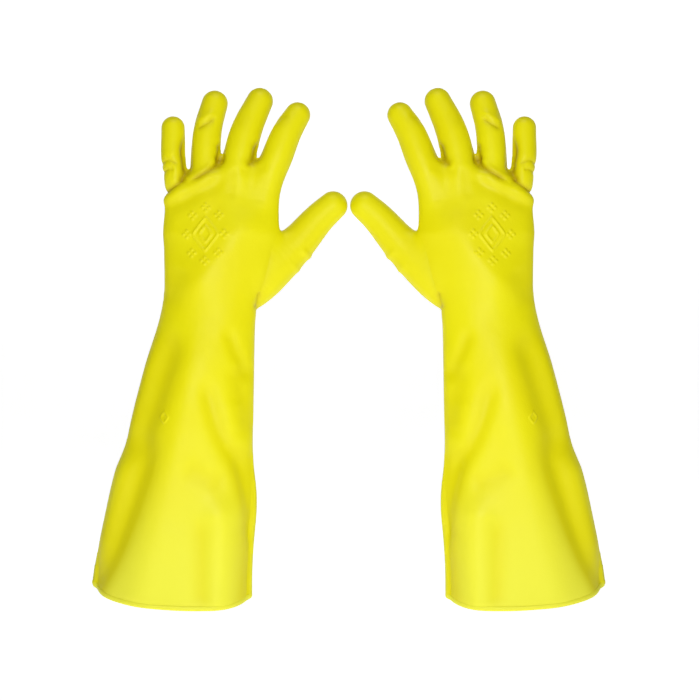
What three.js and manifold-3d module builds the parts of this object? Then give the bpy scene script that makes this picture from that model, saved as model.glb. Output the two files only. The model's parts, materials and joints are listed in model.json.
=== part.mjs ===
// A pair of long household rubber gloves, fingers up, with the backs of the hands towards -Y.
// Units are millimetres, +Z is up. The origin is the centre of the left glove's arm opening. Each
// glove is one dipped latex film with a rolled bead at its cuff and a cotton flock lining. The
// film is divided where it bends: at the wrist and at two places on every digit, a short soft
// fold joins two stretches that keep their shape.
import * as THREE from "three";
import { mergeVertices } from "three/addons/utils/BufferGeometryUtils.js";
import Module from "manifold-3d";

const wasm = await Module();
wasm.setup();

// Driving dimensions
const PALM_SPACING = 205; // between the middles of the two palms
const FILM = 0.6; // thickness of the latex
const GAP = 0.3; // between neighbouring nodes
const LINING = 0.5; // thickness of the flock lining
const BEAD_RADIUS = 1.7;
const BEAD_OVERHANG = 0.6; // how far the bead's centre stands outside the sleeve
const WRIST_HEIGHT = 243; // of the wrist's bending axis
const WRIST_FOLD = 28; // length of film that bends at the wrist
const RIM_HEIGHT = 14; // of the cuff's rim, at the sleeve's middle
const RIM_SIDE_SLOPE = -0.075; // the rim rises away from the thumb
const RIM_FRONT_SLOPE = 0.26; // and drops towards the back of the hand
const LINING_SETBACK = 14; // the flock stops this far above the rim
const SQUARENESS = 2.25; // superellipse exponent of the sleeve and palm
const DIGIT_DEPTH = 0.9; // a digit's depth over its width

// The raised motif on the back of the hand: two lozenge outlines in an oval of pips, and one
// small lozenge on the sleeve
const MOTIF = { x: -11.5, z: 300, lozenges: [5.5, 10.5], lineRadius: 0.9, pips: 10 };
const MOTIF_OVAL = { halfWidth: 16, halfHeight: 24, pipRadius: 1.5 };
const SLEEVE_MARK = { x: -41, z: 155, halfWidth: 3 };
const LOZENGE_HEIGHT = 1.35; // a lozenge's height over its width

// How finely the curved faces are divided
const BODY_SIDES = 20;
const DIGIT_SIDES = 10;
const DIGIT_STEP = 11;
const TIP_RINGS = 2;
const BEAD_STEPS = 30;
const BEAD_SIDES = 6;
const MOTIF_SIDES = 5;
const SIMPLIFIED = 0.1; // points closer than this to their neighbours' surface are dropped

const FILM_COLOUR = 0xe8e22a;
const LINING_COLOUR = 0xf2efdc;
const WELD = 1e-4; // vertices closer than this are one
const REACH = 400; // half the side of a cutting block

// Cross-sections of the sleeve and palm of the left glove, from below the rim to the finger
// roots: height, outer edge, thumb edge, half depth, and the slope of the section across the hand.
// Places across the glove are measured from the middle of the palm.
const STATIONS = [
  { z: -16, outer: -103.5, inner: 22.5, depth: 29, slope: 0 },
  { z: 24, outer: -103.5, inner: 22.5, depth: 29, slope: 0 },
  { z: 60, outer: -96.5, inner: 26, depth: 28, slope: 0 },
  { z: 90, outer: -89, inner: 27, depth: 27, slope: 0 },
  { z: 125, outer: -78.5, inner: 25, depth: 26, slope: 0 },
  { z: 163, outer: -69.5, inner: 25.5, depth: 25, slope: 0 },
  { z: 200, outer: -59.5, inner: 25.8, depth: 23, slope: 0 },
  { z: 236, outer: -49.5, inner: 27, depth: 21, slope: 0 },
  { z: 256, outer: -46, inner: 34, depth: 19, slope: 0 },
  { z: 290, outer: -46.3, inner: 46.5, depth: 17.5, slope: 0 },
  { z: 325, outer: -46.5, inner: 47.5, depth: 15.5, slope: 0.03 },
  { z: 345, outer: -46, inner: 50, depth: 13, slope: 0.1 },
  { z: 356, outer: -41, inner: 46, depth: 8, slope: 0.1 },
];

// Each digit: its centre line from inside the palm to the centre of its round tip, its half width
// at those points, and where its two folds begin and end, measured along the centre line.
const DIGITS = {
  thumb: {
    line: [[20, 6, 250], [34, 9, 267], [57.5, 12, 291], [77.5, 13, 313.5], [90.5, 13, 326]],
    halfWidths: [13, 17.5, 15.5, 12.7, 10.8],
    rootFold: [60, 72.5],
    middleFold: [81, 92],
  },
  index: {
    line: [[35, 0, 340], [44.4, 0.5, 363.5], [52.6, 3, 383], [61.3, 7, 398.6]],
    halfWidths: [12.6, 12, 11.3, 9.2],
    rootFold: [22.5, 34.5],
    middleFold: [43.5, 55],
  },
  middle: {
    line: [[9.5, 0, 340], [14.4, 0.5, 364], [20.6, 3.5, 386], [31, 9, 411]],
    halfWidths: [13, 12.2, 11.8, 9.6],
    rootFold: [26, 38.5],
    middleFold: [49.5, 61.5],
  },
  ring: {
    line: [[-14, 0, 340], [-12.3, 0.5, 366], [-10.8, 3.5, 386], [-5.2, 9, 408.6]],
    halfWidths: [11.2, 10.8, 10.6, 9.4],
    rootFold: [25, 36.5],
    middleFold: [46.5, 57.5],
  },
  little: {
    line: [[-36.5, 0, 340], [-39.2, 0.5, 364], [-39, 5, 388.2]],
    halfWidths: [9.8, 9.5, 8.5],
    rootFold: [18.5, 28.5],
    middleFold: [34, 43],
  },
};

// ---- Surfaces ----

// A closed surface through rings of equal length, with a flat fan over each end.
function loft(rings) {
  const count = rings[0].length;
  const positions = rings.flat().flatMap((p) => [p.x, p.y, p.z]);
  const triangles = [];
  for (let r = 0; r + 1 < rings.length; r++) {
    for (let i = 0; i < count; i++) {
      const a = r * count + i;
      const b = r * count + ((i + 1) % count);
      triangles.push(a, b, b + count, a, b + count, a + count);
    }
  }
  [0, rings.length - 1].forEach((r) => {
    const hub = positions.length / 3;
    const middle = new THREE.Vector3();
    rings[r].forEach((p) => middle.addScaledVector(p, 1 / count));
    positions.push(middle.x, middle.y, middle.z);
    for (let i = 0; i < count; i++) {
      const a = r * count + i;
      const b = r * count + ((i + 1) % count);
      triangles.push(...(r === 0 ? [hub, b, a] : [hub, a, b]));
    }
  });
  const geometry = new THREE.BufferGeometry();
  geometry.setAttribute("position", new THREE.Float32BufferAttribute(positions, 3));
  geometry.setIndex(triangles);
  return geometry;
}

// Angles of n points evenly spaced round a section.
const turns = (n) => Array.from({ length: n }, (_, i) => (2 * Math.PI * i) / n);

const middleOf = ({ outer, inner }) => (outer + inner) / 2;
const halfWidthOf = ({ outer, inner }) => (inner - outer) / 2;

// One section of the sleeve or palm, inset from the outer surface.
function bodyRing(station, inset) {
  const { z, depth, slope } = station;
  const halfWidth = halfWidthOf(station) - inset;
  const power = 2 / SQUARENESS;
  return turns(BODY_SIDES).map((angle) => {
    const c = Math.cos(angle);
    const s = Math.sin(angle);
    const x = middleOf(station) + halfWidth * Math.sign(c) * Math.abs(c) ** power;
    const y = (depth - inset) * Math.sign(s) * Math.abs(s) ** power;
    return new THREE.Vector3(x, y, z + slope * x);
  });
}

// The centre line of a digit.
const centreLine = ({ line }) =>
  new THREE.CatmullRomCurve3(line.map((p) => new THREE.Vector3(...p)), false, "centripetal");

// The half width of a digit at a share of its length.
function halfWidthAt({ halfWidths }, share) {
  const place = share * (halfWidths.length - 1);
  const before = Math.min(Math.floor(place), halfWidths.length - 2);
  return THREE.MathUtils.lerp(halfWidths[before], halfWidths[before + 1], place - before);
}

// A round section of a digit, standing across its centre line.
function digitRing(centre, along, halfWidth) {
  const across = new THREE.Vector3().crossVectors(new THREE.Vector3(0, 1, 0), along).normalize();
  const deep = new THREE.Vector3().crossVectors(along, across);
  return turns(DIGIT_SIDES).map((angle) =>
    centre
      .clone()
      .addScaledVector(across, halfWidth * Math.cos(angle))
      .addScaledVector(deep, halfWidth * DIGIT_DEPTH * Math.sin(angle)),
  );
}

// A digit as a tapering tube with a round tip, inset from the outer surface.
function digitGeometry(digit, inset) {
  const curve = centreLine(digit);
  const length = curve.getLength();
  const steps = Math.round(length / DIGIT_STEP);
  const rings = [];
  for (let i = 0; i <= steps; i++) {
    const u = Math.max(i / steps, inset / length);
    const share = curve.getUtoTmapping(u);
    rings.push(
      digitRing(curve.getPointAt(u), curve.getTangentAt(u), halfWidthAt(digit, share) - inset),
    );
  }
  const tip = curve.getPointAt(1);
  const along = curve.getTangentAt(1);
  const radius = digit.halfWidths.at(-1) - inset;
  for (let i = 1; i <= TIP_RINGS; i++) {
    const lift = (Math.PI / 2) * (i / (TIP_RINGS + 0.6));
    const centre = tip.clone().addScaledVector(along, radius * Math.sin(lift));
    rings.push(digitRing(centre, along, radius * Math.cos(lift)));
  }
  return loft(rings);
}

// ---- Solids ----

// A three.js geometry as a manifold solid.
function solidOf(geometry) {
  const bare = new THREE.BufferGeometry();
  bare.setAttribute("position", geometry.getAttribute("position"));
  if (geometry.index) bare.setIndex(geometry.index);
  const merged = mergeVertices(bare, WELD);
  return new wasm.Manifold(
    new wasm.Mesh({
      numProp: 3,
      vertProperties: merged.attributes.position.array,
      triVerts: new Uint32Array(merged.index.array),
    }),
  );
}

// A manifold solid as a three.js geometry. Of separate crumbs, only the largest body is kept.
function geometryOf(solid) {
  const bodies = solid.simplify(SIMPLIFIED).decompose().sort((a, b) => b.volume() - a.volume());
  const mesh = bodies[0].getMesh();
  const geometry = new THREE.BufferGeometry();
  geometry.setAttribute("position", new THREE.BufferAttribute(mesh.vertProperties, 3));
  geometry.setIndex(new THREE.BufferAttribute(mesh.triVerts, 1));
  geometry.computeVertexNormals();
  return geometry;
}

// Everything ahead of a point in a direction, as a large block.
function ahead(point, direction) {
  const block = new THREE.BoxGeometry(2 * REACH, 2 * REACH, 2 * REACH);
  block.translate(0, 0, REACH);
  const turn = new THREE.Quaternion().setFromUnitVectors(new THREE.Vector3(0, 0, 1), direction);
  block.applyQuaternion(turn);
  block.translate(point.x, point.y, point.z);
  return solidOf(block);
}

const above = (z) => ahead(new THREE.Vector3(0, 0, z), new THREE.Vector3(0, 0, 1));

// Everything above the rim's plane, raised by a distance.
function aboveRim(raised) {
  const point = new THREE.Vector3(middleOf(STATIONS[0]), 0, RIM_HEIGHT + raised);
  const up = new THREE.Vector3(-RIM_SIDE_SLOPE, -RIM_FRONT_SLOPE, 1).normalize();
  return ahead(point, up);
}

// The point of the sleeve's or palm's back at a place across and up the glove.
function onBack(x, z) {
  const next = Math.max(1, STATIONS.findIndex((station) => station.z > z));
  const [low, high] = [STATIONS[next - 1], STATIONS[next]];
  const at = (key) => THREE.MathUtils.mapLinear(z, low.z, high.z, low[key], high[key]);
  const station = { outer: at("outer"), inner: at("inner") };
  const off = Math.abs(x - middleOf(station)) / halfWidthOf(station);
  return new THREE.Vector3(x, -at("depth") * (1 - off ** SQUARENESS) ** (1 / SQUARENESS), z);
}

// A raised lozenge outline on the back.
function lozengeSolid(x, z, halfWidth) {
  const corners = [0, 1, 2, 3].map((i) => {
    const angle = (i * Math.PI) / 2;
    return [x + halfWidth * Math.cos(angle), z + halfWidth * LOZENGE_HEIGHT * Math.sin(angle)];
  });
  const points = corners.flatMap(([cornerX, cornerZ], i) => {
    const [nextX, nextZ] = corners[(i + 1) % 4];
    return [onBack(cornerX, cornerZ), onBack((cornerX + nextX) / 2, (cornerZ + nextZ) / 2)];
  });
  const outline = new THREE.CatmullRomCurve3(points, true);
  const steps = 2 * points.length;
  return solidOf(new THREE.TubeGeometry(outline, steps, MOTIF.lineRadius, MOTIF_SIDES, true));
}

// All that stands up from the back of the glove.
function motifSolid() {
  const { x, z, lozenges, pips } = MOTIF;
  const { halfWidth, halfHeight, pipRadius } = MOTIF_OVAL;
  const outlines = lozenges.map((size) => lozengeSolid(x, z, size));
  const dots = turns(pips).map((angle) => {
    const place = onBack(x + halfWidth * Math.cos(angle), z + halfHeight * Math.sin(angle));
    const dot = new THREE.IcosahedronGeometry(pipRadius, 0);
    return solidOf(dot.translate(place.x, place.y, place.z));
  });
  const mark = lozengeSolid(SLEEVE_MARK.x, SLEEVE_MARK.z, SLEEVE_MARK.halfWidth);
  return [...outlines, ...dots].reduce((solid, raised) => solid.add(raised), mark);
}

// The sleeve and palm, filled, inset from the outer surface; the webs between the fingers too.
function bodySolid(inset) {
  const web = STATIONS.at(-1);
  const lowered = { ...web, z: web.z - inset };
  const stations = [...STATIONS.slice(0, -1), lowered];
  return solidOf(loft(stations.map((station) => bodyRing(station, inset))));
}

const digitSolid = (digit, inset) => solidOf(digitGeometry(digit, inset));

// The whole glove, filled, inset from its outer surface.
const gloveSolid = (inset) =>
  Object.values(DIGITS).reduce(
    (solid, digit) => solid.add(digitSolid(digit, inset)),
    bodySolid(inset),
  );

// Everything of a digit's line beyond a distance along it.
function beyond(digit, distance) {
  const curve = centreLine(digit);
  const u = distance / curve.getLength();
  return ahead(curve.getPointAt(u), curve.getTangentAt(u));
}

// A stretch of a digit's tube between two distances along it.
function tube(digit, from, to) {
  const wall = digitSolid(digit, 0).subtract(digitSolid(digit, FILM));
  const kept = wall.intersect(beyond(digit, from + GAP / 2));
  return to ? kept.subtract(beyond(digit, to - GAP / 2)) : kept;
}

// The hand's share of a layer: above the wrist's fold, without the free digits.
function handPart(whole) {
  return Object.values(DIGITS).reduce(
    (solid, digit) =>
      solid.subtract(
        digitSolid(digit, -GAP).intersect(beyond(digit, digit.rootFold[0] - GAP / 2)),
      ),
    whole.intersect(above(WRIST_HEIGHT + WRIST_FOLD / 2 + GAP / 2)),
  );
}

// The sleeve's share of a layer: from above the rim to the wrist's fold.
const sleevePart = (whole, setback) =>
  whole
    .intersect(aboveRim(setback))
    .subtract(above(WRIST_HEIGHT - WRIST_FOLD / 2 - GAP / 2));

const wristPart = (whole) =>
  whole
    .intersect(above(WRIST_HEIGHT - WRIST_FOLD / 2 + GAP / 2))
    .subtract(above(WRIST_HEIGHT + WRIST_FOLD / 2 - GAP / 2));

// The rolled bead round the rim.
function beadGeometry() {
  const middle = middleOf(STATIONS[0]);
  const rim = bodyRing(STATIONS[0], -BEAD_OVERHANG).map(({ x, y }) => {
    const z = RIM_HEIGHT + RIM_SIDE_SLOPE * (x - middle) + RIM_FRONT_SLOPE * y;
    return new THREE.Vector3(x, y, z);
  });
  const path = new THREE.CatmullRomCurve3(rim, true);
  return new THREE.TubeGeometry(path, BEAD_STEPS, BEAD_RADIUS, BEAD_SIDES, true);
}

// ---- Assembly ----

const filmMaterial = new THREE.MeshStandardMaterial({
  color: FILM_COLOUR,
  roughness: 0.45,
  metalness: 0,
});
const liningMaterial = new THREE.MeshStandardMaterial({
  color: LINING_COLOUR,
  roughness: 0.95,
  metalness: 0,
});

// The pieces of the left glove, by name.
function glovePieces() {
  const film = gloveSolid(0).add(motifSolid()).subtract(gloveSolid(FILM));
  const lining = gloveSolid(FILM + GAP).subtract(gloveSolid(FILM + GAP + LINING));
  const pieces = {
    cuff_bead: [beadGeometry(), filmMaterial],
    sleeve: [geometryOf(sleevePart(film, BEAD_RADIUS + GAP)), filmMaterial],
    sleeve_lining: [geometryOf(sleevePart(lining, LINING_SETBACK)), liningMaterial],
    wrist_fold: [geometryOf(wristPart(film)), filmMaterial],
    hand: [geometryOf(handPart(film)), filmMaterial],
    hand_lining: [geometryOf(handPart(lining)), liningMaterial],
  };
  for (const [name, digit] of Object.entries(DIGITS)) {
    const { rootFold, middleFold } = digit;
    pieces[`${name}_root_fold`] = [geometryOf(tube(digit, ...rootFold)), filmMaterial];
    pieces[`${name}_base`] = [geometryOf(tube(digit, rootFold[1], middleFold[0])), filmMaterial];
    pieces[`${name}_middle_fold`] = [geometryOf(tube(digit, ...middleFold)), filmMaterial];
    pieces[`${name}_tip`] = [geometryOf(tube(digit, middleFold[1])), filmMaterial];
  }
  return pieces;
}

const gloves = new THREE.Group();
const pieces = glovePieces();
for (const [side, direction] of [["left", 1], ["right", -1]]) {
  const glove = new THREE.Group();
  glove.position.x = (side === "left" ? 0 : PALM_SPACING) - middleOf(STATIONS[0]);
  glove.position.z = -RIM_HEIGHT;
  glove.scale.x = direction; // the right glove is the left one's mirror image
  for (const [name, [geometry, material]] of Object.entries(pieces)) {
    const mesh = new THREE.Mesh(geometry, material.clone());
    mesh.name = `${side}_${name}`;
    glove.add(mesh);
  }
  gloves.add(glove);
}

export default gloves;
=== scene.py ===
"""A pair of long household rubber gloves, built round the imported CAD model.

The left glove's skin is a smooth implicit surface: a tapering tube for the sleeve and palm, joined
softly to five swept digits. It is meshed, folded and embossed, given a thickness, and divided
where the CAD model's joints need it. The right glove is its mirror image.
Lengths inside the modelling functions are in millimetres, in the CAD model's own frame.
"""

import itertools
import json
import math

import bmesh
import bpy
import numpy as np
import openvdb
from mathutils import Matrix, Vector

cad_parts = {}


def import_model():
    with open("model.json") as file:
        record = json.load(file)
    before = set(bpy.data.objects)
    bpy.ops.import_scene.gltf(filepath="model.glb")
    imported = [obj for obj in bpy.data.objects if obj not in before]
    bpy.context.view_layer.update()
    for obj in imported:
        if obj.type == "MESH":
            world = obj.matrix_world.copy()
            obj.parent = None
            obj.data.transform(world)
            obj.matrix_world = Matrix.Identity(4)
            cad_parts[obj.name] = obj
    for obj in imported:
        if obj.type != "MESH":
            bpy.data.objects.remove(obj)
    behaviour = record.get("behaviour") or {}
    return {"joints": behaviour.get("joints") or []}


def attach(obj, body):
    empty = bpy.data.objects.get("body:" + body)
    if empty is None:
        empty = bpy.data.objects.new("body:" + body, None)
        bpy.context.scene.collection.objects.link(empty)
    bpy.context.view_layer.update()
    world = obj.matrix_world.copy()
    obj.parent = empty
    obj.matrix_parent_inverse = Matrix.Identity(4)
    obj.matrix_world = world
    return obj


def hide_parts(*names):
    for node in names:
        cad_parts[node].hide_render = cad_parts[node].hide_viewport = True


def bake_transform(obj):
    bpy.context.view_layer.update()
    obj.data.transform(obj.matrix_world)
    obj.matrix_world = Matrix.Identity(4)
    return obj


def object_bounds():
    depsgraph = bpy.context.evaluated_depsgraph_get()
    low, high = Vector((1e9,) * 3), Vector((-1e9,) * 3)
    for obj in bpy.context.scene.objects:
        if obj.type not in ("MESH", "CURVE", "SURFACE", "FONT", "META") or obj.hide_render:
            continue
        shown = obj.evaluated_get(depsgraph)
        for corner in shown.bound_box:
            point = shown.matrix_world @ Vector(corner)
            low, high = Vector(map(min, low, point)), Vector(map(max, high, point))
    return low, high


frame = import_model()
CAD_LOW, CAD_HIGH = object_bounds()
JOINTS = {joint["name"]: joint for joint in frame["joints"]}

MM = 0.001
MIRROR_X = (CAD_LOW.x + CAD_HIGH.x) / 2 / MM  # the plane midway between the gloves
WRIST_Z = JOINTS["left_wrist_bend"]["pos_m"][2] / MM

FILM = 0.6  # thickness of the latex
LINING_GAP = 0.15  # between the latex and its flock
LINING = 0.6  # thickness of the flock
LINING_SETBACK = 14  # the flock stops this far above the rim
BEAD_HEIGHT, BEAD_THICKNESS = 2.0, 1.1  # half sizes of the rolled bead's section
RIM_SIDE_SLOPE = -0.075  # the rim rises away from the thumb
RIM_FRONT_SLOPE = 0.29  # and drops towards the back of the hand

VOXEL = 2.0
ACROSS, THROUGH = 2.2, 1.6  # exponents of the glove's lens-like sections
DIGIT_DEPTH = 0.87  # a digit's depth over its width
WEB_BLEND = 3.5  # softness of the join between one digit and the next
# Softness of the join between the palm and the digits, at each height
ROOT_BLENDS = np.array(
    [(228, 1.5), (258, 8), (288, 14), (306, 8), (322, 6), (345, 4.5)],
)
CAP_BLEND = 9.0  # roundness of the palm's upper edge
CORNER = 8.0  # roundness of the corners in the profiles of the sleeve and palm

# The sleeve and palm: height, outer edge, thumb edge, depth to the back, depth to the palm
STATIONS = np.array(
    [
        (-40, -66.0, 65.5, 30, 29.5),
        (8, -64.6, 65.2, 29.5, 29),
        (24, -61.6, 65.6, 29, 28.5),
        (42, -57.6, 66.8, 28.5, 28),
        (64, -52.4, 69.2, 27.5, 27),
        (82, -48.4, 69.2, 27, 26.5),
        (99, -44.0, 66.4, 26.5, 26),
        (118, -36.9, 65.6, 26, 25.5),
        (149, -29.6, 66.4, 25, 25),
        (186, -19.9, 67.0, 23, 23.5),
        (214, -10.7, 67.4, 20.5, 22.5),
        (232, -6.2, 69.0, 19, 21),
        (253, -5.4, 76.0, 17.6, 20),
        (282, -6.2, 85.5, 15.8, 18.4),
        (300, -5.6, 86.6, 13.8, 17),
        (318, -4.0, 85.8, 11.4, 14.4),
        (334, -3.4, 88.0, 9.8, 12.4),
        (360, -3.4, 91.0, 10, 11),
    ]
)
CAP_HEIGHT = 341.5  # of the palm's upper edge, at the middle finger
CAP_SLOPE = 0.15  # it rises towards the index finger
CAP_MIDDLE = 42

# Each digit's centre line, from inside the palm to the centre of its round tip, and its half
# width at those points
DIGITS = {
    "thumb": [
        (60, 6, 235.5, 12.6),
        (74.5, 9, 254.0, 17.6),
        (98.2, 12, 277.7, 15.4),
        (117.6, 13, 300.0, 13.0),
        (130.2, 13, 311.7, 11.8),
    ],
    "index": [
        (69.0, 1, 292, 5.5),
        (75.4, 0, 326, 12.0),
        (84.4, 0.5, 348, 12.7),
        (92.9, 2, 369.2, 11.9),
        (101.5, 5, 384.2, 10.4),
    ],
    "middle": [
        (46.5, 1, 292, 5.5),
        (50.5, 0, 326, 13.0),
        (54.6, 0.5, 348, 13.4),
        (60.6, 2.5, 372, 12.6),
        (70.9, 6.5, 395.7, 10.8),
    ],
    "ring": [
        (27.0, 1, 292, 5.0),
        (27.0, 0, 326, 11.2),
        (27.6, 0.5, 349, 12.0),
        (29.2, 2.5, 372, 11.4),
        (34.4, 6.5, 393.7, 10.6),
    ],
    "little": [
        (10.5, 1, 294, 4.5),
        (5.5, 0, 326, 8.8),
        (1.8, 0.5, 346, 9.9),
        (1.0, 3.5, 373.4, 9.5),
    ],
}


# ---- Curves and profiles ----


def curve(points, count):
    """count points of a smooth open curve through the given ones."""
    p = np.array(points, float)
    p = np.vstack([2 * p[0] - p[1], p, 2 * p[-1] - p[-2]])
    u = np.linspace(0, len(points) - 1, count)
    i = np.minimum(u.astype(int), len(points) - 2)
    t = (u - i)[:, None]
    a, b, c, d = p[i], p[i + 1], p[i + 2], p[i + 3]
    return 0.5 * (
        2 * b + (c - a) * t + (2 * a - 5 * b + 4 * c - d) * t**2 + (3 * b - a - 3 * c + d) * t**3
    )


def smoothed(column):
    """(heights, values) of one column of STATIONS, with its corners rounded off."""
    z = np.arange(STATIONS[0, 0], STATIONS[-1, 0] + 1, 1.0)
    reach = int(3 * CORNER)
    weights = np.exp(-0.5 * (np.arange(-reach, reach + 1) / CORNER) ** 2)
    padded = np.pad(np.interp(z, STATIONS[:, 0], STATIONS[:, column]), reach, mode="edge")
    return z, np.convolve(padded, weights / weights.sum(), mode="valid")


PROFILES = [smoothed(column) for column in (1, 2, 3, 4)]


def step(x, low, high):
    """0 below low, 1 above high, and smooth between."""
    t = np.clip((x - low) / (high - low), 0, 1)
    return t * t * (3 - 2 * t)


def soft_min(a, b, softness):
    """The lower of two fields, with the corner between them rounded off."""
    h = np.clip(0.5 + 0.5 * (b - a) / softness, 0, 1)
    return b + (a - b) * h - softness * h * (1 - h)


def line_distance(points, line):
    """(distance of each point from a polyline, share of the polyline's length at the nearest)."""
    nearest = np.full(len(points), np.inf)
    share = np.zeros(len(points))
    for i, (a, b) in enumerate(zip(line[:-1], line[1:])):
        d = b - a
        t = np.clip(((points - a) @ d) / (d @ d), 0, 1)
        away = np.linalg.norm(points - a - t[:, None] * d, axis=1)
        closer = away < nearest
        nearest[closer] = away[closer]
        share[closer] = (i + t[closer]) / (len(line) - 1)
    return nearest, share


# ---- The implicit surface ----

DIGIT_STEPS = 28  # points along a digit's centre line
LEAST_SLOPE = 0.3  # keeps the distance finite near a section's centre
LEAST_PULL = 0.05  # the same, where a point is moved onto the surface
DIGITS_FROM = ROOT_BLENDS[0, 0] - 35  # no digit changes the surface below this height
OUT_OF_REACH = 99.0  # a distance too far to change the surface

MESH_LOW = np.array([-74.0, -38.0, -36.0])
MESH_HIGH = np.array([152.0, 38.0, 416.0])
BAND = 3 * VOXEL  # how far from the surface the grid keeps distances
EVENING_PASSES = 3
EVENING = 0.6  # how far each pass moves a point towards the middle of its neighbours


def section(u, v, half, depth):
    """Roughly the distance outside a lens-like section, from shares of its two half sizes."""
    slope = np.hypot(ACROSS * u ** (ACROSS - 1) / half, THROUGH * v ** (THROUGH - 1) / depth)
    return (u**ACROSS + v**THROUGH - 1) / np.maximum(slope, LEAST_SLOPE / half)


def body_field(p):
    """Roughly the distance outside the sleeve and palm."""
    x, y, z = p.T
    outer, inner, back, palm = (np.interp(z, *profile) for profile in PROFILES)
    half = (inner - outer) / 2
    depth = np.where(y < 0, back, palm)
    u = np.abs(x - (inner + outer) / 2) / half
    v = np.abs(y) / depth
    tube = section(u, v, half, depth)
    cap = z - CAP_HEIGHT - CAP_SLOPE * (x - CAP_MIDDLE)
    return -soft_min(-tube, -cap, CAP_BLEND)


def digit_field(name, p):
    """Roughly the distance outside one digit."""
    line = curve(DIGITS[name], DIGIT_STEPS)
    field = np.full(len(p), np.inf)
    for a, b in zip(line[:-1], line[1:]):
        d = (b - a)[:3]
        t = np.clip(((p - a[:3]) @ d) / (d @ d), 0, 1)
        off = np.abs(p - a[:3] - t[:, None] * d)
        half = a[3] + t * (b[3] - a[3])
        depth = half * DIGIT_DEPTH
        across = np.hypot(off[:, 0], off[:, 2]) / half
        field = np.minimum(field, section(across, off[:, 1] / depth, half, depth))
    return field


def glove_field(p):
    """Roughly the distance outside the whole glove."""
    field = body_field(p)
    high = p[:, 2] > DIGITS_FROM
    reached = p[high]
    digits = np.full(len(reached), OUT_OF_REACH)
    for name in DIGITS:
        digits = soft_min(digits, digit_field(name, reached), WEB_BLEND)
    softness = np.interp(reached[:, 2], *ROOT_BLENDS.T)
    field[high] = soft_min(field[high], digits, softness)
    return field


def gradient(p, reach=0.4):
    """The field's gradient at each point."""
    offsets = np.eye(3) * reach
    return np.stack(
        [(glove_field(p + o) - glove_field(p - o)) / (2 * reach) for o in offsets], axis=1
    )


def settled(p):
    """Points moved onto the surface."""
    g = gradient(p)
    return p - glove_field(p)[:, None] * g / np.maximum((g * g).sum(1), LEAST_PULL)[:, None]


def meshed():
    """(points, quads) of the glove's outer surface, from below the rim to the fingertips."""
    counts = np.ceil((MESH_HIGH - MESH_LOW) / VOXEL).astype(int)
    index = np.indices(counts).reshape(3, -1).T
    values = glove_field(MESH_LOW + index * VOXEL).reshape(counts)
    grid = openvdb.FloatGrid(BAND)
    grid.copyFromArray(np.clip(values, -BAND, BAND).astype(np.float32))
    points, quads = grid.convertToQuads()
    points = points.astype(float) * VOXEL + MESH_LOW
    ends = np.concatenate([quads[:, [i, (i + 1) % 4]] for i in range(4)])
    ends = np.concatenate([ends, ends[:, ::-1]])
    for _ in range(EVENING_PASSES):
        total = np.zeros_like(points)
        np.add.at(total, ends[:, 0], points[ends[:, 1]])
        counted = np.bincount(ends[:, 0], minlength=len(points))[:, None]
        points = settled(points + EVENING * (total / np.maximum(counted, 1) - points))
    return points, quads


# ---- Seams: where the digits are divided ----

FOLD = 6.5  # half the length of film that bends at a digit's joint
NEAR_DIGIT = 5  # film this near to a digit's own surface can belong to it


def hinge(name):
    """(point, direction of the digit) at one of the left glove's digit joints."""
    joint = JOINTS["left_" + name]
    axis = Vector(joint["axis"])
    return np.array(joint["pos_m"]) / MM, np.array((axis.z, 0.0, -axis.x))


def seams(digit):
    """The planes that bound a digit's base and its tip, each a point and a direction."""
    root, root_way = hinge(digit + "_root_bend")
    middle, middle_way = hinge(digit + "_tip_bend")
    upper = (root + root_way * FOLD + middle - middle_way * FOLD) / 2
    way = root_way + middle_way
    return (root - root_way * FOLD, root_way), (upper, way / np.linalg.norm(way))


# ---- Folds and raised work ----

FOLD_STEPS = 14  # points along a fold's line
FADE = 0.25  # the share of a fold's length over which an end fades out
CREASE_FALL, VALLEY_FALL = 1.2, 2  # a crease falls off like a cut, a valley like a wave
SHARP = 4  # folds narrower than this need finer faces
CREASE_REACH = 1.6  # how far the finer faces reach, in a crease's half widths
DEEP_CREASE, DEEP_VALLEY = 3.5, 2.2  # creases and valleys of this depth show their full painted shade
VALLEY_SHADE = 0.15  # a wide valley's full painted shade, as a share of a crease's


def is_crease(height, width):
    """Whether a fold is a narrow valley."""
    return height < 0 and width < SHARP


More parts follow.
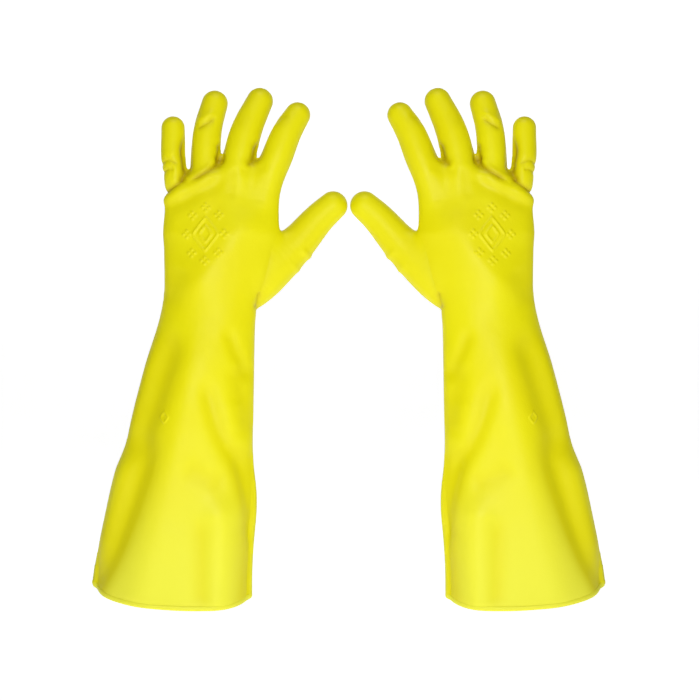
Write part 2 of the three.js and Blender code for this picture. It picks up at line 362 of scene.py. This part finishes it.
# The film's folds: the side they lie on, a line through (across, height) points, height, half
# width, and whether they fade out at each end
FOLDS = [
    # the long valley down the outer side of the sleeve, and the ridges on both sides of it
    ("back", [(8, 216), (-1, 188), (-11, 158), (-22, 126), (-30, 104)], -4.0, 11, 1, 1),
    ("back", [(-6, 212), (-17, 178), (-27, 145), (-36, 114)], 1.6, 5.5, 1, 1),
    ("back", [(-12, 134), (-22.5, 99), (-36, 62), (-49, 32), (-68, 0)], -5.0, 11, 1, 0),
    ("back", [(-33, 114), (-40, 88), (-48, 55), (-60, 8)], 2.8, 7.5, 1, 1),
    ("back", [(28, 222), (18, 172), (9, 130), (-5, 70), (-22, 2)], 2.6, 15, 1, 0),
    # valleys on the thumb's side of the sleeve
    ("back", [(47, 214), (52, 197), (59, 182), (67, 166)], -1.9, 5, 1, 1),
    ("back", [(53, 186), (59, 156), (63, 122)], -1.8, 7, 1, 1),
    ("back", [(29, 174), (35, 147), (44, 122), (55, 105)], -2.3, 6.5, 1, 1),
    ("back", [(49, 120), (58, 103), (63, 85), (67, 64), (70, 32)], -4.8, 8.2, 1, 1),
    ("back", [(52, 156), (55, 128)], 0.8, 9, 1, 1),
    ("back", [(12, 104), (30, 93), (50, 88)], -1.4, 8, 1, 1),
    ("back", [(40, 84), (43, 40), (41, -4)], 4.4, 12, 1, 0),
    ("back", [(80, 62), (77, 26), (75, -8)], -6.0, 17, 1, 0),
    ("back", [(25, 66), (26, 30), (27, 0)], -1.2, 7, 1, 0),
    # the slope across the back of the hand
    ("back", [(70, 312), (58, 292), (43, 270), (27, 250), (6, 226)], 3.4, 17, 1, 1),
    ("back", [(62, 300), (48, 276), (30, 256), (10, 233)], 0.4, 6, 1, 1),
    ("back", [(10, 262), (4, 244), (-6, 230)], -1.0, 9, 1, 1),
    # the strong folds under the ring and little fingers
    ("edge", [(13, 333), (5, 326), (-9, 318.5)], -2.6, 1.9, 1, 0),
    ("flank", [(11, 370), (10.5, 354), (12.5, 342), (11, 334), (5, 327)], -3.2, 3.2, 1, 1),
    ("back", [(37, 354), (34, 343), (28, 337), (19, 333), (8, 328.5)], 1.7, 3.4, 1, 1),
    ("back", [(42, 353), (37, 342), (27, 334.5), (14, 328)], -2.8, 2.6, 1, 1),
    ("flank", [(40, 362), (39.5, 352), (37.5, 344)], -2.0, 2.6, 1, 1),
    ("edge", [(42, 339), (28, 329.5), (12, 322), (-8, 313)], 1.6, 4.2, 1, 0),
    ("back", [(50, 334), (28, 322), (10, 313.5), (-6, 306)], -1.8, 6, 1, 1),
    # the dents beside the fingers' roots
    ("flank", [(71, 364), (69, 353), (66.5, 346), (60, 340)], -2.6, 3.4, 1, 1),
    ("back", [(80, 342), (67, 338), (54, 337)], -0.9, 4, 1, 1),
    ("back", [(50, 342), (49.5, 328), (48, 312)], -1.1, 5.5, 1, 1),
    ("back", [(77, 338), (74, 324), (71, 308)], -0.8, 6, 1, 1),
    # the creases of the fingers
    ("back", [(20, 371.5), (28, 375), (38, 381.5)], -1.6, 2.0, 1, 1),
    ("back", [(19, 376.5), (27, 380.5), (37, 386.5)], 0.9, 2.8, 1, 1),
    ("back", [(50, 375), (57, 380), (65, 385)], -0.6, 5, 1, 1),
    ("back", [(82, 376), (88, 380), (96, 384)], -0.7, 3.4, 1, 1),
    ("edge", [(-10, 342), (-2, 346), (8, 342.5)], -1.1, 1.8, 0, 1),
    ("edge", [(-10, 335), (-2, 338.5), (4, 338)], -1.2, 1.9, 0, 1),
    # the line from the crotch of the thumb to the notch at the wrist
    ("edge", [(70, 233), (76, 252), (83, 282)], -0.6, 3.0, 1, 1),
    ("edge", [(69, 229), (70.5, 234), (72, 242)], -1.6, 1.8, 0, 1),
    ("edge", [(104, 276), (112, 269), (120, 262)], 1.0, 2.6, 1, 0),
    ("edge", [(95, 265), (103, 258), (110, 252)], 0.7, 3.0, 1, 0),
    # the palm: the heel of the thumb, the lines of the hand and the wrist
    ("palm", [(88, 300), (66, 288), (54, 262), (50, 236)], -1.8, 5, 1, 1),
    ("palm", [(92, 276), (78, 262), (68, 246)], 1.5, 11, 1, 1),
    ("palm", [(2, 312), (28, 310), (48, 318), (62, 334)], -1.2, 3.4, 1, 1),
    ("palm", [(6, 280), (30, 290), (56, 300), (84, 306)], -1.1, 3.6, 1, 1),
    ("palm", [(-8, 236), (30, 231), (66, 233)], -1.1, 3.6, 1, 1),
    ("palm", [(48, 214), (30, 170), (24, 120), (8, 60), (2, 8)], 1.8, 13, 1, 0),
    ("palm", [(-4, 200), (-16, 150), (-28, 104), (-42, 50), (-54, 8)], -2.8, 8, 1, 0),
    ("palm", [(60, 198), (48, 150), (52, 106), (62, 60)], -2.2, 7, 1, 1),
]
# How far towards the viewer of its own side a surface must face to show a fold
FACING = {
    "back": (-0.1, 0.45),
    "flank": (-0.1, 0.25),
    "edge": (-0.8, -0.2),
    "palm": (-0.1, 0.45),
}


def relief(p, n, folds):
    """How far each point of the surface stands out because of folds, along its normal."""
    flat = p[:, [0, 2]]
    total = np.zeros(len(p))
    for side, line, height, width, fades_in, fades_out in folds:
        away, share = line_distance(flat, curve(line, FOLD_STEPS))
        fall = CREASE_FALL if is_crease(height, width) else VALLEY_FALL
        amount = height * np.exp(-((away / width) ** fall))
        if fades_in:
            amount = amount * step(share, 0, FADE)
        if fades_out:
            amount = amount * step(share, 1, 1 - FADE)
        towards = n[:, 1] if side == "palm" else -n[:, 1]
        total += amount * step(towards, *FACING[side])
    return total


MOTIF = Vector((29, 286))  # centre of the raised motif, across and up
MOTIF_HEIGHT = 0.9
MOTIF_LOZENGES = (5.5, 10.5)  # their half widths
MOTIF_LINE = 0.9  # half width of their raised lines
MOTIF_RING = Vector((15, 21.5))  # how far out the groups of pips lie, across and up
GROUPS, PIPS = 8, 4
PIP_OFFSET, PIP_SIZE = 2.5, 1.2
MARK = Vector((-2.5, 141))  # centre of the small raised mark on the sleeve
MARK_SIZE, MARK_LINE = 4, 0.7
MARK_SHARE = 0.6  # its height over the motif's
LOZENGE_HEIGHT = 1.35  # a lozenge's height over its width
LOZENGE_CORNER = 0.8  # softness of its corners
RAISED_FACING = (0, 0.4)  # how far towards the back a surface must face to be embossed


def lozenge(x, z, half_width):
    """Distance of each point from a lozenge outline with soft corners."""
    half_height = half_width * LOZENGE_HEIGHT
    u = np.sqrt(x * x + LOZENGE_CORNER) / half_width + np.sqrt(z * z + LOZENGE_CORNER) / half_height
    return np.abs(u - 1) * half_width * half_height / math.hypot(half_width, half_height)


def rounded(away, size):
    """1 on a line or pip, falling smoothly to 0 beyond its size."""
    return np.exp(-((away / size) ** 2))


def motif(p, n):
    """How far the raised lozenges and pips on the back of the glove stand out."""
    x, z = p[:, 0] - MOTIF.x, p[:, 2] - MOTIF.y
    height = np.zeros(len(p))
    for half_width in MOTIF_LOZENGES:
        height = np.maximum(height, rounded(lozenge(x, z, half_width), MOTIF_LINE))
    for i, j in itertools.product(range(GROUPS), range(PIPS)):
        group, pip = math.tau * i / GROUPS, math.tau * j / PIPS
        away_x = x - MOTIF_RING.x * math.cos(group) - PIP_OFFSET * math.cos(pip)
        away_z = z - MOTIF_RING.y * math.sin(group) - PIP_OFFSET * math.sin(pip)
        height = np.maximum(height, rounded(np.hypot(away_x, away_z), PIP_SIZE))
    mark = lozenge(p[:, 0] - MARK.x, p[:, 2] - MARK.y, MARK_SIZE)
    height = np.maximum(height, MARK_SHARE * rounded(mark, MARK_LINE))
    return MOTIF_HEIGHT * height * step(-n[:, 1], *RAISED_FACING)


# ---- Meshes ----


# The raised work, and the half sizes of the ellipses of finer faces under it
DETAILS = ((MOTIF, (20, 28)), (MARK, (6, 7)))
DETAIL_CUTS, CREASE_CUTS = 3, 2  # how often the edges there are cut
CUT_BAND = 4 * VOXEL  # only faces this near to a seam are cut
ON_CUT = 0.05  # points this near to a cut are taken to lie on it
RIM_HEIGHT = 0.5  # of the film's own edge, inside the bead


def refine(mesh):
    """Give the mesh finer faces under the raised work and along the sharp folds."""
    ends = np.array([[v.co for v in e.verts] for e in mesh.edges])
    back = (ends[:, :, 1] < 0).all(1)
    flat = ends[:, :, [0, 2]]
    detailed = np.zeros(len(ends), bool)
    for centre, size in DETAILS:
        detailed |= back & (np.linalg.norm((flat - centre) / size, axis=2) < 1).all(1)
    creased = np.zeros(len(ends), bool)
    for side, line, height, width, *_ in FOLDS:
        if width < SHARP:
            away = line_distance(flat.reshape(-1, 2), curve(line, FOLD_STEPS))[0].reshape(-1, 2)
            creased |= (away < CREASE_REACH * width).all(1) & (back == (side != "palm"))
    edges = list(mesh.edges)
    for chosen, cuts in ((detailed, DETAIL_CUTS), (creased, CREASE_CUTS)):
        bmesh.ops.subdivide_edges(
            mesh,
            edges=[edges[i] for i in np.flatnonzero(chosen)],
            cuts=cuts,
            use_grid_fill=True,
        )


def cut(mesh, parts, point, way, discard=False):
    """Cut parts of the mesh along a plane, and discard what lies behind it if asked."""
    bmesh.ops.bisect_plane(
        mesh, geom=parts, plane_co=point, plane_no=way, clear_inner=discard, dist=ON_CUT
    )


def cut_seams(mesh):
    """Cut the mesh along every seam, round the digit only."""
    for digit in DIGITS:
        for point, way in seams(digit):
            centres = np.array([f.calc_center_median() for f in mesh.faces])
            near = digit_field(digit, centres) < NEAR_DIGIT
            near &= np.abs((centres - point) @ way) < CUT_BAND
            faces = [f for f, chosen in zip(mesh.faces, near) if chosen]
            edges = dict.fromkeys(e for f in faces for e in f.edges)
            corners = dict.fromkeys(v for f in faces for v in f.verts)
            cut(mesh, [*faces, *edges, *corners], point, way)


def cut_rim(mesh):
    """Cut the mesh along the flock's edge, and cut it off at the rim."""
    way = (-RIM_SIDE_SLOPE, -RIM_FRONT_SLOPE, 1)
    for height, discard in ((LINING_SETBACK, False), (RIM_HEIGHT, True)):
        cut(mesh, [*mesh.faces, *mesh.edges, *mesh.verts], (0, 0, height), way, discard)


def cut_mesh(points, quads):
    """(points, faces) with finer faces where they are needed, cut at every seam and the rim."""
    mesh = bmesh.new()
    verts = [mesh.verts.new(p) for p in points]
    for quad in quads:
        mesh.faces.new([verts[i] for i in quad])
    refine(mesh)
    cut_seams(mesh)
    cut_rim(mesh)
    mesh.verts.index_update()
    points = np.array([v.co for v in mesh.verts])
    faces = [[v.index for v in f.verts] for f in mesh.faces]
    mesh.free()
    return points, faces


def neighbours(faces):
    """The faces that share an edge with each face."""
    beside = {}
    for i, f in enumerate(faces):
        for a, b in zip(f, f[1:] + f[:1]):
            beside.setdefault((min(a, b), max(a, b)), []).append(i)
    near = [[] for _ in faces]
    for pair in beside.values():
        for i in pair:
            near[i] += [j for j in pair if j != i]
    return near


def labelled(points, faces):
    """The piece that each face belongs to: main, DIGIT_base or DIGIT_tip."""
    centres = np.array([points[f].mean(0) for f in faces])
    labels = np.full(len(faces), "main", dtype=object)
    fields = {digit: digit_field(digit, centres) for digit in DIGITS}
    for digit in DIGITS:
        (root, root_way), (upper, upper_way) = seams(digit)
        others = np.min([fields[d] for d in DIGITS if d != digit], axis=0)
        mine = (fields[digit] < NEAR_DIGIT) & (fields[digit] < others)
        mine &= (centres - root) @ root_way > 0
        labels[mine] = digit + "_base"
        labels[mine & ((centres - upper) @ upper_way > 0)] = digit + "_tip"
    # A face that hangs onto its own piece by less than half its edges joins its neighbours' piece
    for i, near in enumerate(neighbours(faces)):
        others = [labels[j] for j in near if labels[j] != labels[i]]
        if len(others) > len(near) / 2:
            labels[i] = others[0]
    return labels


def painted_fold_shade(points, normals):
    """How much painted shade each point gets: 0 on the open surface, a little in a wide valley, up
    to 1 deep in a crease.
    """
    creases = [fold for fold in FOLDS if is_crease(*fold[2:4])]
    valleys = [fold for fold in FOLDS if fold[2] < 0 and not is_crease(*fold[2:4])]
    crease_shade = np.clip(-relief(points, normals, creases) / DEEP_CREASE, 0, 1)
    valley_shade = np.clip(-relief(points, normals, valleys) / DEEP_VALLEY, 0, 1) * VALLEY_SHADE
    return np.maximum(crease_shade, valley_shade)


def vertex_normals(points, faces):
    """The direction in which the surface faces at each point."""
    mesh = bpy.data.meshes.new("normals")
    mesh.from_pydata(points.tolist(), [], faces)
    normals = np.zeros(len(points) * 3, np.float32)
    mesh.vertex_normals.foreach_get("vector", normals)
    bpy.data.meshes.remove(mesh)
    return normals.reshape(-1, 3).astype(float)


def linked(name, data):
    """A new object in the scene, for a mesh, lamp or camera."""
    obj = bpy.data.objects.new(name, data)
    bpy.context.scene.collection.objects.link(obj)
    return obj


def shell(name, outer, inner, normals, fold_shade, faces, mirrored):
    """A closed shell between two layers of points that share their faces."""
    used = sorted({i for f in faces for i in f})
    renumbered = {old: new for new, old in enumerate(used)}
    count = len(used)
    top = [[renumbered[i] for i in f] for f in faces]
    edges = {(f[i], f[(i + 1) % len(f)]) for f in top for i in range(len(f))}
    rims = [[b, a, a + count, b + count] for a, b in sorted(edges) if (b, a) not in edges]
    under = [[i + count for i in reversed(f)] for f in top]
    polygons = top + under + rims
    points = np.vstack([outer[used], inner[used]])
    lit = np.vstack([normals[used], -normals[used]])
    if mirrored:
        points[:, 0] = 2 * MIRROR_X - points[:, 0]
        lit[:, 0] *= -1
        polygons = [f[::-1] for f in polygons]
    mesh = bpy.data.meshes.new(name)
    mesh.from_pydata((points * MM).tolist(), [], polygons)
    mesh.shade_smooth()
    layered = len(top) + len(under)
    corner_normals = [lit[i] for f in polygons[:layered] for i in f]
    for f in polygons[layered:]:
        a, b, c = (points[i] for i in f[:3])
        n = np.cross(b - a, c - b)
        corner_normals += [n / max(np.linalg.norm(n), 1e-9)] * len(f)
    mesh.normals_split_custom_set(corner_normals)
    # The painted shade of the folds, kept as the fold attribute for the material
    fold = mesh.attributes.new("fold", "FLOAT", "POINT")
    fold.data.foreach_set("value", np.tile(fold_shade[used], 2).astype(np.float32))
    return linked(name, mesh)


def rim_loop(points, faces):
    """The points round the open rim, in order."""
    edges = {(f[i], f[(i + 1) % len(f)]) for f in faces for i in range(len(f))}
    following = {a: b for a, b in edges if (b, a) not in edges}
    start = min(following)
    loop = [start]
    while following[loop[-1]] != start:
        loop.append(following[loop[-1]])
    return points[loop]


BEAD_STEPS, BEAD_SIDES = 220, 14  # points along the bead and round its section
BEAD_SOFTENING = 4  # passes


def resampled(loop, count):
    """count points evenly spaced round a closed loop, softened."""
    closed = np.vstack([loop, loop[:1]])
    run = np.concatenate([[0], np.cumsum(np.linalg.norm(np.diff(closed, axis=0), axis=1))])
    places = np.linspace(0, run[-1], count, endpoint=False)
    even = np.stack([np.interp(places, run, closed[:, i]) for i in range(3)], axis=1)
    for _ in range(BEAD_SOFTENING):
        even = (np.roll(even, 1, 0) + 2 * even + np.roll(even, -1, 0)) / 4
    return even


def bead(name, loop, mirrored):
    """The rolled cord round the rim, a closed ring."""
    path = resampled(loop, BEAD_STEPS)
    along = np.roll(path, -1, 0) - np.roll(path, 1, 0)
    along /= np.linalg.norm(along, axis=1)[:, None]
    out = np.cross(along, (0, 0, 1.0))
    out /= np.linalg.norm(out, axis=1)[:, None]
    if ((path - path.mean(0)) * out).sum() < 0:
        out = -out
    up = np.cross(along, out)
    rings = []
    for i in range(BEAD_SIDES):
        angle = math.tau * i / BEAD_SIDES
        offset = out * BEAD_THICKNESS * math.cos(angle) + up * BEAD_HEIGHT * math.sin(angle)
        rings.append(path + offset)
    points = np.stack(rings, axis=1).reshape(-1, 3)
    faces = []
    for r in range(BEAD_STEPS):
        ring, following = r * BEAD_SIDES, (r + 1) % BEAD_STEPS * BEAD_SIDES
        for i in range(BEAD_SIDES):
            j = (i + 1) % BEAD_SIDES
            faces.append([ring + i, ring + j, following + j, following + i])
    if mirrored:
        points = points * (-1, 1, 1) + (2 * MIRROR_X, 0, 0)
    mesh = bpy.data.meshes.new(name)
    mesh.from_pydata((points * MM).tolist(), [], faces)
    work = bmesh.new()
    work.from_mesh(mesh)
    bmesh.ops.recalc_face_normals(work, faces=work.faces)
    work.to_mesh(mesh)
    work.free()
    mesh.shade_smooth()
    return linked(name, mesh)


# ---- Materials: sizes and heights are in metres ----


class Look:
    """A Principled material whose textures follow the object's own coordinates."""

    def __init__(self, name):
        self.material = bpy.data.materials.new(name)
        self.material.use_nodes = True
        self.tree = self.material.node_tree
        self.shader = self.tree.nodes["Principled BSDF"]
        self.coordinates = self.tree.nodes.new("ShaderNodeTexCoord").outputs["Object"]

    def join(self, output, socket):
        self.tree.links.new(output, socket)

    def noise(self, size, detail, low=0.3, high=0.7):
        """Noise with features of this size in metres, stretched from low..high to 0..1."""
        node = self.tree.nodes.new("ShaderNodeTexNoise")
        node.inputs["Scale"].default_value = 1 / size
        node.inputs["Detail"].default_value = detail
        self.join(self.coordinates, node.inputs["Vector"])
        return self.ranged(node.outputs["Fac"], low, high, 0, 1)

    def attribute(self, name):
        node = self.tree.nodes.new("ShaderNodeAttribute")
        node.attribute_name = name
        return node.outputs["Fac"]

    def height(self, low, high):
        """0 at the height low, 1 at the height high, in metres."""
        node = self.tree.nodes.new("ShaderNodeSeparateXYZ")
        self.join(self.coordinates, node.inputs["Vector"])
        return self.ranged(node.outputs["Z"], low, high, 0, 1, "SMOOTHSTEP")

    def ranged(self, value, low, high, to_low, to_high, interpolation="LINEAR"):
        node = self.tree.nodes.new("ShaderNodeMapRange")
        node.interpolation_type = interpolation
        node.inputs["From Min"].default_value = low
        node.inputs["From Max"].default_value = high
        node.inputs["To Min"].default_value = to_low
        node.inputs["To Max"].default_value = to_high
        self.join(value, node.inputs["Value"])
        return node.outputs["Result"]

    def mixed(self, factor, first, second):
        """A colour between two, each a colour or another node's output."""
        node = self.tree.nodes.new("ShaderNodeMix")
        node.data_type = "RGBA"
        self.join(factor, node.inputs["Factor"])
        first_colour, second_colour, mixed_colour = node.inputs[6], node.inputs[7], node.outputs[2]
        for end, socket in ((first, first_colour), (second, second_colour)):
            if isinstance(end, tuple):
                socket.default_value = (*end, 1)
            else:
                self.join(end, socket)
        return mixed_colour

    def bump(self, height, distance, below=None):
        """A bump this many metres high, over another bump."""
        node = self.tree.nodes.new("ShaderNodeBump")
        node.inputs["Distance"].default_value = distance
        self.join(height, node.inputs["Height"])
        if below:
            self.join(below, node.inputs["Normal"])
        return node.outputs["Normal"]


SATIN = 0.2  # the rubber's specular level
RUBBER_ROUGHNESS = (0.38, 0.48)
RUBBER = (0.80, 0.75, 0.002)
DEEPER = (0.78, 0.71, 0.001)  # the even colour drifts a little towards this one
PALER = (0.82, 0.81, 0.05)  # and is paler near the cuff
PALER_FROM, PALEST_AT, PALEST = 0.15, -0.01, 0.9  # two heights, and how far the colour goes
# Painted shade: the rubber's colour is painted deeper in its valleys, and deeper still in the
# creases where folds face each other
SHADE_IN_VALLEYS = (0.745, 0.68, 0.001)
SHADE_IN_CREASES = (0.43, 0.31, 0.001)
FLOCK_DARK, FLOCK_LIGHT = (0.74, 0.70, 0.42), (0.87, 0.84, 0.62)
FLOCK_ROUGHNESS = (0.88, 1.0)
FLOCK_SHEEN = 0.3


def latex_look(name):
    """Satin natural rubber: an even colour that drifts a little, painted shade in its valleys and
    creases, and a very fine skin.
    """
    look = Look(name)
    drift = look.mixed(look.noise(size=0.06, detail=3), DEEPER, RUBBER)
    sleeve = look.ranged(look.height(PALER_FROM, PALEST_AT), 0, 1, 0, PALEST)
    open_surface = look.mixed(sleeve, drift, PALER)
    # Painted shade: the fold attribute darkens the colour in the valleys, and more in the creases
    fold = look.attribute("fold")
    valleys = look.mixed(look.ranged(fold, 0, VALLEY_SHADE, 0, 1), open_surface, SHADE_IN_VALLEYS)
    base = look.mixed(look.ranged(fold, VALLEY_SHADE, 1, 0, 1), valleys, SHADE_IN_CREASES)
    look.join(base, look.shader.inputs["Base Color"])
    gloss = look.ranged(look.noise(size=0.02, detail=4), 0, 1, *RUBBER_ROUGHNESS)
    look.join(gloss, look.shader.inputs["Roughness"])
    look.shader.inputs["Specular IOR Level"].default_value = SATIN
    waves = look.bump(look.noise(size=0.012, detail=2), distance=0.00012)
    skin = look.bump(look.noise(size=0.0011, detail=2), distance=0.00003, below=waves)
    look.join(skin, look.shader.inputs["Normal"])
    return look.material


def flock_look():
    """Short cotton fibres stuck to the inside of the rubber."""
    look = Look("flock_fibres")
    base = look.mixed(look.noise(size=0.0012, detail=4), FLOCK_DARK, FLOCK_LIGHT)
    look.join(base, look.shader.inputs["Base Color"])
    rough = look.ranged(look.noise(size=0.004, detail=2), 0, 1, *FLOCK_ROUGHNESS)
    look.join(rough, look.shader.inputs["Roughness"])
    look.shader.inputs["Sheen Weight"].default_value = FLOCK_SHEEN
    fibres = look.bump(look.noise(size=0.0006, detail=3), distance=0.00025)
    look.join(fibres, look.shader.inputs["Normal"])
    return look.material


# ---- Assembly ----


class Skin:
    """The left glove's surface, as layers of points that share their faces."""

    def __init__(self):
        points, faces = cut_mesh(*meshed())
        g = gradient(points)
        normals = g / np.linalg.norm(g, axis=1)[:, None]
        folded = points + normals * relief(points, normals, FOLDS)[:, None]
        slopes = vertex_normals(folded, faces)
        if (slopes * normals).sum() < 0:
            faces = [f[::-1] for f in faces]
            slopes = -slopes
        self.faces = faces
        self.slopes = slopes
        # How much painted shade each point gets in the folds
        self.fold_shade = painted_fold_shade(points, normals)
        self.outer = folded + slopes * motif(points, normals)[:, None]
        self.inner = folded - slopes * FILM
        self.shading = vertex_normals(self.outer, faces)
        self.flock_outer = self.inner - slopes * LINING_GAP
        self.flock_inner = self.flock_outer - slopes * LINING
        self.rim = rim_loop(folded - slopes * FILM / 2, faces)
        self.labels = labelled(points, faces)
        over_rim = points[:, 2] - RIM_SIDE_SLOPE * points[:, 0] - RIM_FRONT_SLOPE * points[:, 1]
        self.lined = np.array([over_rim[f].min() > LINING_SETBACK - 4 * ON_CUT for f in faces])

    def film(self, name, label, side):
        """The film of one piece, from the folded and embossed surface inwards."""
        kept = [f for f, own in zip(self.faces, self.labels == label) if own]
        return shell(name, self.outer, self.inner, self.shading, self.fold_shade, kept, side == "right")

    def flock(self, name, side):
        """The flock inside the sleeve and hand, which stops short of the rim."""
        kept = [f for f, own in zip(self.faces, (self.labels == "main") & self.lined) if own]
        flock = (self.flock_outer, self.flock_inner, self.slopes, self.fold_shade)
        return shell(name, *flock, kept, side == "right")


def bend(obj, point, way):
    """Bake obj's placement into its mesh. point and way are not used."""
    point, way = np.array(point), np.array(way)
    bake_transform(obj)


def bend_wrist(obj):
    bend(obj, (0, 0, WRIST_Z), (0, 0, 1))


def build_main_film(skin, side, latex):
    film = skin.film(f"{side}_film", "main", side)
    bend_wrist(film)
    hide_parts(f"{side}_sleeve", f"{side}_wrist_fold", f"{side}_hand")
    film.data.materials.append(latex)


def build_lining(skin, side, flock):
    lining = skin.flock(f"{side}_lining", side)
    bend_wrist(lining)
    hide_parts(f"{side}_sleeve_lining", f"{side}_hand_lining")
    lining.data.materials.append(flock)


def build_bead(skin, side, rolled):
    cord = bead(f"{side}_bead", skin.rim, side == "right")
    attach(cord, f"{side}_sleeve")
    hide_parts(f"{side}_cuff_bead")
    cord.data.materials.append(rolled)


def build_digit(skin, side, digit, latex):
    for part, joint, node in (
        ("base", "root_bend", "root_fold"),
        ("tip", "tip_bend", "middle_fold"),
    ):
        piece = skin.film(f"{side}_{digit}_{part}_film", f"{digit}_{part}", side)
        point, way = hinge(f"{digit}_{joint}")
        bend(piece, point, way)
        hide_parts(f"{side}_{digit}_{node}", f"{side}_{digit}_{part}")
        piece.data.materials.append(latex)


def build_gloves():
    skin = Skin()
    latex = latex_look("latex_skin")
    rolled = latex_look("bead_skin")
    flock = flock_look()
    for side in ("left", "right"):
        build_main_film(skin, side, latex)
        build_lining(skin, side, flock)
        build_bead(skin, side, rolled)
        for digit in DIGITS:
            build_digit(skin, side, digit, latex)


build_gloves()

# ---- Studio ----

MIDDLE = MIRROR_X * MM  # between the two gloves, in metres
PAPER_GLOW = 0.69
PAPER_DARK, PAPER_LIGHT = (0.88, 0.88, 0.87), (0.93, 0.93, 0.93)
PAPER_ROUGHNESS = 0.9
WORLD_LIGHT, WORLD_SEEN = 0.1, 0.97  # how bright the world is as a light, and to look at
WHITE = (1, 1, 1, 1)

FLOOR_HEIGHT, WALL_TOP = -0.30, 4.0
FLOOR_FRONT, FLOOR_BACK = -3.0, 2.2  # the flat floor's two ends
FLOOR_HALF_WIDTH = 5.0
WALL_CURVE, WALL_STEPS = 1.2, 16  # radius of the curve from the floor to the wall

CAMERA_DISTANCE, CAMERA_HEIGHT, CAMERA_ASIDE = 1.1, 0.194, 0.001
VIEW_WIDTH = 0.564  # at the gloves
SENSOR = 36


def paper_look():
    """Plain pale paper that glows a little, like the wall of a light box."""
    paper = Look("paper")
    base = paper.mixed(paper.noise(size=0.4, detail=3), PAPER_DARK, PAPER_LIGHT)
    paper.join(base, paper.shader.inputs["Base Color"])
    paper.shader.inputs["Roughness"].default_value = PAPER_ROUGHNESS
    paper.shader.inputs["Emission Color"].default_value = WHITE
    paper.shader.inputs["Emission Strength"].default_value = PAPER_GLOW
    return paper.material


def floor():
    """A pale floor well below the gloves, curving up behind them."""
    profile = [(FLOOR_FRONT, FLOOR_HEIGHT)]
    for angle in np.linspace(0, math.pi / 2, WALL_STEPS):
        rise = WALL_CURVE * (1 - math.cos(angle))
        profile.append((FLOOR_BACK + WALL_CURVE * math.sin(angle), FLOOR_HEIGHT + rise))
    profile.append((FLOOR_BACK + WALL_CURVE, WALL_TOP))
    verts = [(MIDDLE + side * FLOOR_HALF_WIDTH, y, z) for y, z in profile for side in (-1, 1)]
    faces = [(2 * i, 2 * i + 1, 2 * i + 3, 2 * i + 2) for i in range(len(profile) - 1)]
    mesh = bpy.data.meshes.new("floor")
    mesh.from_pydata(verts, [], faces)
    mesh.shade_smooth()
    obj = linked("floor", mesh)
    obj.data.materials.append(paper_look())


def light(name, position, aim, size, watts):
    lamp = bpy.data.lights.new(name, "AREA")
    lamp.shape = "DISK"
    lamp.size = size
    lamp.energy = watts
    obj = linked(name, lamp)
    obj.location = position
    obj.rotation_mode = "QUATERNION"
    obj.rotation_quaternion = (Vector(aim) - Vector(position)).to_track_quat("-Z", "Y")


def world():
    """Little light comes from beyond the floor, but what is seen there is as pale as the floor."""
    surround = bpy.data.worlds.new("studio")
    bpy.context.scene.world = surround
    surround.use_nodes = True
    tree = surround.node_tree
    background = tree.nodes["Background"]
    background.inputs["Color"].default_value = WHITE
    seen = tree.nodes.new("ShaderNodeLightPath").outputs["Is Camera Ray"]
    strength = tree.nodes.new("ShaderNodeMapRange")
    strength.inputs["To Min"].default_value = WORLD_LIGHT
    strength.inputs["To Max"].default_value = WORLD_SEEN
    tree.links.new(seen, strength.inputs["Value"])
    tree.links.new(strength.outputs["Result"], background.inputs["Strength"])


def studio():
    """A light box: even light all round, and lamps in front, between the two gloves."""
    floor()
    light("key", (MIDDLE, -1.0, 0.3), aim=(MIDDLE, 0, 0.2), size=0.5, watts=4.5)
    light("near", (MIDDLE, -0.3, 0.06), aim=(MIDDLE, 0, 0.12), size=0.2, watts=0.15)
    light("top", (MIDDLE, -0.4, 1.2), aim=(MIDDLE, 0, 0.2), size=0.6, watts=3.0)
    world()
    bpy.context.scene.view_settings.view_transform = "Standard"


def camera():
    data = bpy.data.cameras.new("camera")
    data.sensor_width = SENSOR
    data.lens = SENSOR * CAMERA_DISTANCE / VIEW_WIDTH
    obj = linked("camera", data)
    obj.location = (MIDDLE + CAMERA_ASIDE, -CAMERA_DISTANCE, CAMERA_HEIGHT)
    obj.rotation_euler = (math.pi / 2, 0, 0)
    bpy.context.scene.camera = obj


studio()
camera()
